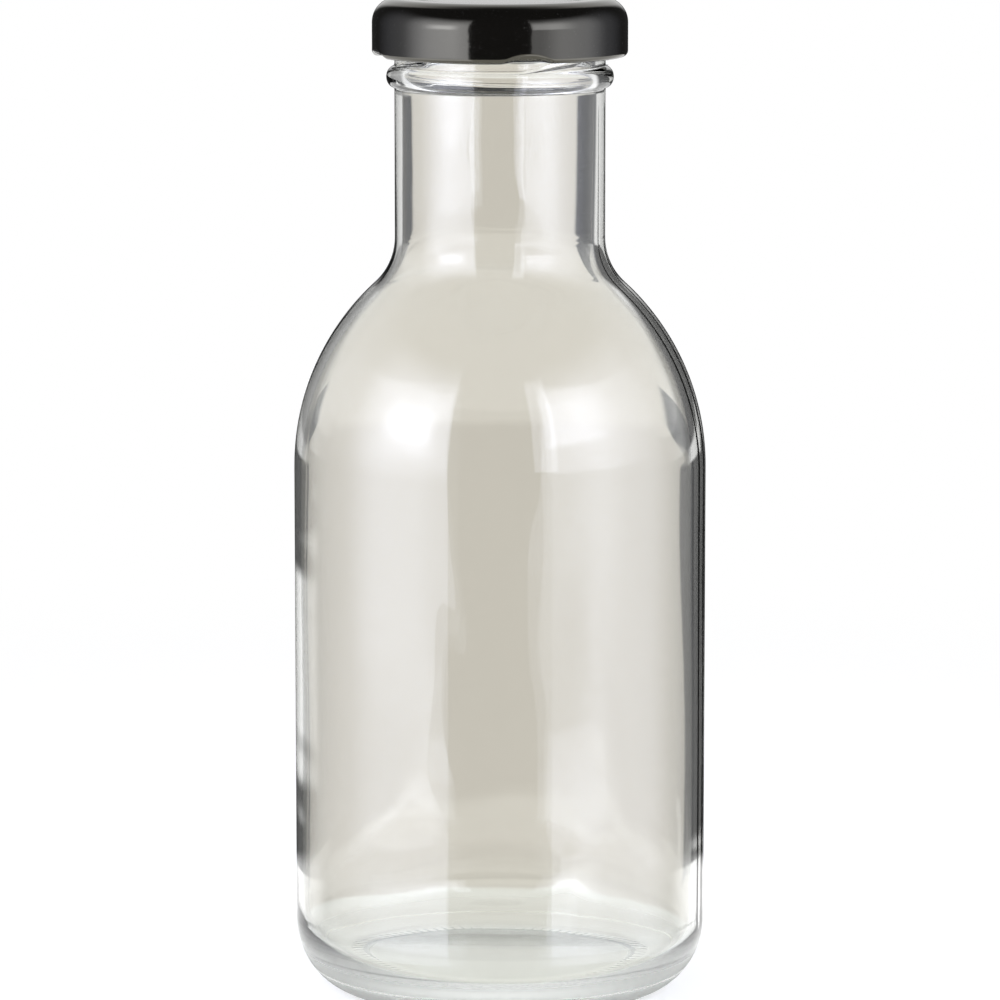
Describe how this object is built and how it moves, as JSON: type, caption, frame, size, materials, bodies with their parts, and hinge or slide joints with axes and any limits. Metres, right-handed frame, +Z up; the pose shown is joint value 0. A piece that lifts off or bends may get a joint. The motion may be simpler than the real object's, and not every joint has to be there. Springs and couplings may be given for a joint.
{
  "type": "glass bottle",
  "caption": "Round clear glass bottle with a domed shoulder and a wide straight neck, closed by a black metal twist-off lug cap with a sealing gasket.",
  "frame": {"origin": "middle of the bottle's base, on the plane that the bottle stands on", "axes": "+Z up along the bottle's axis, -Y towards the front, +X to the right seen from the front"},
  "size_m": [0.0672, 0.0672, 0.1623],
  "materials": {
    "clear_glass": "clear flint glass, fire-polished, slightly uneven inside",
    "black_enamel": "gloss black enamel on tinplate",
    "gasket_compound": "soft off-white sealing compound"
  },
  "bodies": {
    "bottle": {"glass_bottle": "clear_glass"},
    "gasket": {"sealing_gasket": "gasket_compound"},
    "cap": {"lug_cap": "black_enamel"}
  },
  "joints": [
    {"name": "cap_lift", "type": "slide", "parent": "bottle", "child": "gasket", "axis": [0, 0, 1], "range_m": [0, 0.03]},
    {"name": "cap_twist", "type": "hinge", "parent": "gasket", "child": "cap", "pos_m": [0, 0, 0.158], "axis": [0, 0, 1], "range_deg": [-35, 0]}
  ]
}
